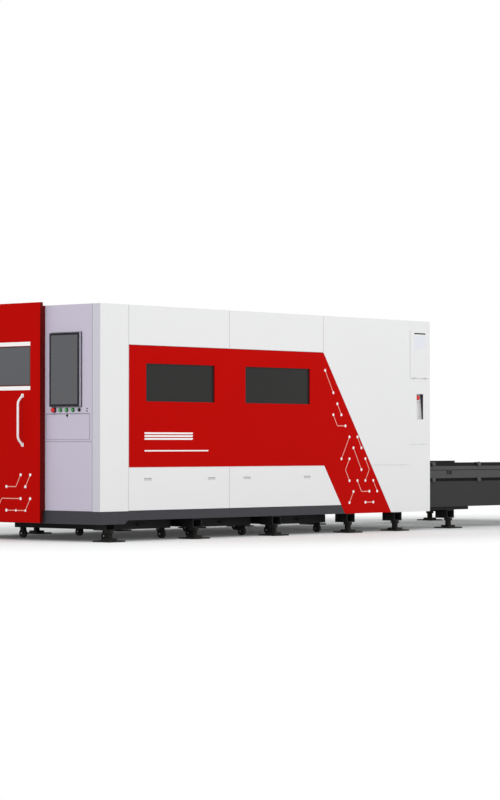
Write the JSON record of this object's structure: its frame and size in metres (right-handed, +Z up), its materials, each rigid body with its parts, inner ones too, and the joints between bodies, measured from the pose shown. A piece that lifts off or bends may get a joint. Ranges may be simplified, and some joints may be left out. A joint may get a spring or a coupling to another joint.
{
  "type": "laser cutting machine",
  "caption": "Enclosed sheet-metal laser cutting machine with a sliding operator door, control cabinet, gantry cutting head, slag carts and a two-level exchange table.",
  "frame": {"origin": "on the floor, under the middle of the machine's whole length and width", "axes": "+X from the operator's end towards the exchange table, +Y from the windowed side towards the far side, +Z up"},
  "size_m": [8.527, 2.43, 2.282],
  "materials": {
    "white_paint": "satin white powder coat",
    "red_paint": "satin red powder coat",
    "lilac_paint": "satin light lilac-grey powder coat",
    "dark_grey_paint": "satin dark grey paint",
    "black_paint": "satin black paint",
    "grey_paint": "satin grey paint",
    "machined_steel": "machined",
    "raw_steel": "rolled, unpainted",
    "brushed_metal": "satin anodised",
    "handle_white": "gloss white",
    "tinted_glass": "dark tinted",
    "screen_glass": "switched-off screen",
    "black_plastic": "fine textured",
    "red_plastic": "moulded",
    "green_plastic": "moulded",
    "rubber": "plain"
  },
  "bodies": {
    "machine": {"machine_frame": "black_paint", "plinth": "dark_grey_paint", "levelling_feet": "black_paint", "corner_panel": "white_paint", "upper_side_panels": "white_paint", "red_side_panel": "red_paint", "window_panes": "tinted_glass", "end_panels": "white_paint", "column_panel": "white_paint", "switch_pocket": "white_paint", "control_cabinet": "lilac_paint", "monitor_housing": "black_plastic", "monitor_screen": "screen_glass", "front_fixed_panel": "red_paint", "door_rail": "machined_steel", "roof_panels": "white_paint", "far_side_panels": "white_paint", "rear_portal": "white_paint", "linear_rails": "machined_steel", "track_rollers": "machined_steel", "table_frame": "black_paint", "table_side_panels": "grey_paint", "drive_chains": "raw_steel", "drive_motor": "grey_paint", "electrical_panel": "brushed_metal", "laser_source": "grey_paint"},
    "front_door": {"front_door": "red_paint", "door_glass": "tinted_glass", "door_handle": "handle_white"},
    "cabinet_door": {"cabinet_door": "lilac_paint"},
    "keyboard_flap": {"keyboard_flap": "lilac_paint", "keyboard": "black_plastic"},
    "flap_latch": {"flap_latch": "machined_steel"},
    "front_estop": {"front_estop": "red_plastic"},
    "start_button_1": {"start_button_1": "green_plastic"},
    "start_button_2": {"start_button_2": "green_plastic"},
    "start_button_3": {"start_button_3": "green_plastic"},
    "mode_selector": {"mode_selector": "black_plastic"},
    "rear_estop": {"rear_estop": "red_plastic"},
    "rear_button_1": {"rear_button_1": "red_plastic"},
    "rear_button_2": {"rear_button_2": "green_plastic"},
    "rear_button_3": {"rear_button_3": "green_plastic"},
    "rear_hatch": {"rear_hatch": "white_paint"},
    "lower_cover_left": {"lower_cover_left": "white_paint"},
    "lower_cover_right": {"lower_cover_right": "white_paint"},
    "gantry": {"gantry_beam": "brushed_metal"},
    "carriage": {"y_carriage": "brushed_metal"},
    "cutting_head": {"cutting_head": "brushed_metal"},
    "upper_pallet": {"upper_pallet": "raw_steel"},
    "lower_pallet": {"lower_pallet": "raw_steel"},
    "drive_shaft": {"drive_shaft": "machined_steel"},
    "slag_cart_1": {"slag_cart_1": "grey_paint"},
    "cart_wheels_front_1": {"cart_wheels_front_1": "rubber"},
    "cart_wheels_rear_1": {"cart_wheels_rear_1": "rubber"},
    "slag_cart_2": {"slag_cart_2": "grey_paint"},
    "cart_wheels_front_2": {"cart_wheels_front_2": "rubber"},
    "cart_wheels_rear_2": {"cart_wheels_rear_2": "rubber"},
    "slag_cart_3": {"slag_cart_3": "grey_paint"},
    "cart_wheels_front_3": {"cart_wheels_front_3": "rubber"},
    "cart_wheels_rear_3": {"cart_wheels_rear_3": "rubber"}
  },
  "joints": [
    {"name": "front_door_slide", "type": "slide", "parent": "machine", "child": "front_door", "axis": [0, 1, 0], "range_m": [0, 0.74]},
    {"name": "cabinet_door_hinge", "type": "hinge", "parent": "machine", "child": "cabinet_door", "pos_m": [-4.1215, -1.042, 0.6], "axis": [0, 0, 1], "range_deg": [0, 110]},
    {"name": "keyboard_flap_hinge", "type": "hinge", "parent": "machine", "child": "keyboard_flap", "pos_m": [-4.1215, -0.717, 0.972], "axis": [0, -1, 0], "range_deg": [0, 90]},
    {"name": "flap_latch_turn", "type": "hinge", "parent": "keyboard_flap", "child": "flap_latch", "pos_m": [-4.1215, -0.717, 1.1947], "axis": [1, 0, 0], "range_deg": [0, 90]},
    {"name": "front_estop_press", "type": "slide", "parent": "machine", "child": "front_estop", "axis": [1, 0, 0], "range_m": [0, 0.004], "stiffness_N_per_m": 500},
    {"name": "start_button_1_press", "type": "slide", "parent": "machine", "child": "start_button_1", "axis": [1, 0, 0], "range_m": [0, 0.004], "stiffness_N_per_m": 500},
    {"name": "start_button_2_press", "type": "slide", "parent": "machine", "child": "start_button_2", "axis": [1, 0, 0], "range_m": [0, 0.004], "stiffness_N_per_m": 500},
    {"name": "start_button_3_press", "type": "slide", "parent": "machine", "child": "start_button_3", "axis": [1, 0, 0], "range_m": [0, 0.004], "stiffness_N_per_m": 500},
    {"name": "mode_selector_turn", "type": "hinge", "parent": "machine", "child": "mode_selector", "pos_m": [-4.1215, -0.875, 1.248], "axis": [1, 0, 0], "range_deg": [-45, 45]},
    {"name": "rear_estop_press", "type": "slide", "parent": "machine", "child": "rear_estop", "axis": [0, 1, 0], "range_m": [0, 0.004], "stiffness_N_per_m": 500},
    {"name": "rear_button_1_press", "type": "slide", "parent": "machine", "child": "rear_button_1", "axis": [0, 1, 0], "range_m": [0, 0.004], "stiffness_N_per_m": 500},
    {"name": "rear_button_2_press", "type": "slide", "parent": "machine", "child": "rear_button_2", "axis": [0, 1, 0], "range_m": [0, 0.004], "stiffness_N_per_m": 500},
    {"name": "rear_button_3_press", "type": "slide", "parent": "machine", "child": "rear_button_3", "axis": [0, 1, 0], "range_m": [0, 0.004], "stiffness_N_per_m": 500},
    {"name": "rear_hatch_hinge", "type": "hinge", "parent": "machine", "child": "rear_hatch", "pos_m": [0.76, -1.162, 1.637], "axis": [1, 0, 0], "range_deg": [0, 90]},
    {"name": "lower_cover_left_hinge", "type": "hinge", "parent": "machine", "child": "lower_cover_left", "pos_m": [-3.02099, -1.15, 0.292], "axis": [1, 0, 0], "range_deg": [0, 90]},
    {"name": "lower_cover_right_hinge", "type": "hinge", "parent": "machine", "child": "lower_cover_right", "pos_m": [-1.57699, -1.15, 0.292], "axis": [1, 0, 0], "range_deg": [0, 90]},
    {"name": "gantry_x", "type": "slide", "parent": "machine", "child": "gantry", "axis": [1, 0, 0], "range_m": [0, 3.15]},
    {"name": "carriage_y", "type": "slide", "parent": "gantry", "child": "carriage", "axis": [0, 1, 0], "range_m": [-0.78, 0.78]},
    {"name": "head_z", "type": "slide", "parent": "carriage", "child": "cutting_head", "axis": [0, 0, 1], "range_m": [0, 0.12]},
    {"name": "upper_pallet_x", "type": "slide", "parent": "machine", "child": "upper_pallet", "axis": [1, 0, 0], "range_m": [0, 4]},
    {"name": "lower_pallet_x", "type": "slide", "parent": "machine", "child": "lower_pallet", "axis": [1, 0, 0], "range_m": [-4, 0]},
    {"name": "drive_shaft_turn", "type": "hinge", "parent": "machine", "child": "drive_shaft", "pos_m": [1.1135, 0, 0.47], "axis": [0, 1, 0], "range_deg": [0, 5600]},
    {"name": "slag_cart_1_roll", "type": "slide", "parent": "machine", "child": "slag_cart_1", "axis": [0, -1, 0], "range_m": [0, 1.3]},
    {"name": "cart_wheels_front_1_turn", "type": "hinge", "parent": "slag_cart_1", "child": "cart_wheels_front_1", "pos_m": [-3.3115, -0.81, 0.045], "axis": [1, 0, 0], "range_deg": [0, 1700]},
    {"name": "cart_wheels_rear_1_turn", "type": "hinge", "parent": "slag_cart_1", "child": "cart_wheels_rear_1", "pos_m": [-3.3115, 0.33, 0.045], "axis": [1, 0, 0], "range_deg": [0, 1700]},
    {"name": "slag_cart_2_roll", "type": "slide", "parent": "machine", "child": "slag_cart_2", "axis": [0, -1, 0], "range_m": [0, 1.3]},
    {"name": "cart_wheels_front_2_turn", "type": "hinge", "parent": "slag_cart_2", "child": "cart_wheels_front_2", "pos_m": [-2.1265, -0.81, 0.045], "axis": [1, 0, 0], "range_deg": [0, 1700]},
    {"name": "cart_wheels_rear_2_turn", "type": "hinge", "parent": "slag_cart_2", "child": "cart_wheels_rear_2", "pos_m": [-2.1265, 0.33, 0.045], "axis": [1, 0, 0], "range_deg": [0, 1700]},
    {"name": "slag_cart_3_roll", "type": "slide", "parent": "machine", "child": "slag_cart_3", "axis": [0, -1, 0], "range_m": [0, 1.3]},
    {"name": "cart_wheels_front_3_turn", "type": "hinge", "parent": "slag_cart_3", "child": "cart_wheels_front_3", "pos_m": [-0.9415, -0.81, 0.045], "axis": [1, 0, 0], "range_deg": [0, 1700]},
    {"name": "cart_wheels_rear_3_turn", "type": "hinge", "parent": "slag_cart_3", "child": "cart_wheels_rear_3", "pos_m": [-0.9415, 0.33, 0.045], "axis": [1, 0, 0], "range_deg": [0, 1700]}
  ],
  "couplings": [
    {"joint": "lower_pallet_x", "follows": "upper_pallet_x", "ratio": -1},
    {"joint": "drive_shaft_turn", "follows": "upper_pallet_x", "rad_per_m": 23.641},
    {"joint": "cart_wheels_front_1_turn", "follows": "slag_cart_1_roll", "rad_per_m": 22.222},
    {"joint": "cart_wheels_rear_1_turn", "follows": "slag_cart_1_roll", "rad_per_m": 22.222},
    {"joint": "cart_wheels_front_2_turn", "follows": "slag_cart_2_roll", "rad_per_m": 22.222},
    {"joint": "cart_wheels_rear_2_turn", "follows": "slag_cart_2_roll", "rad_per_m": 22.222},
    {"joint": "cart_wheels_front_3_turn", "follows": "slag_cart_3_roll", "rad_per_m": 22.222},
    {"joint": "cart_wheels_rear_3_turn", "follows": "slag_cart_3_roll", "rad_per_m": 22.222}
  ]
}
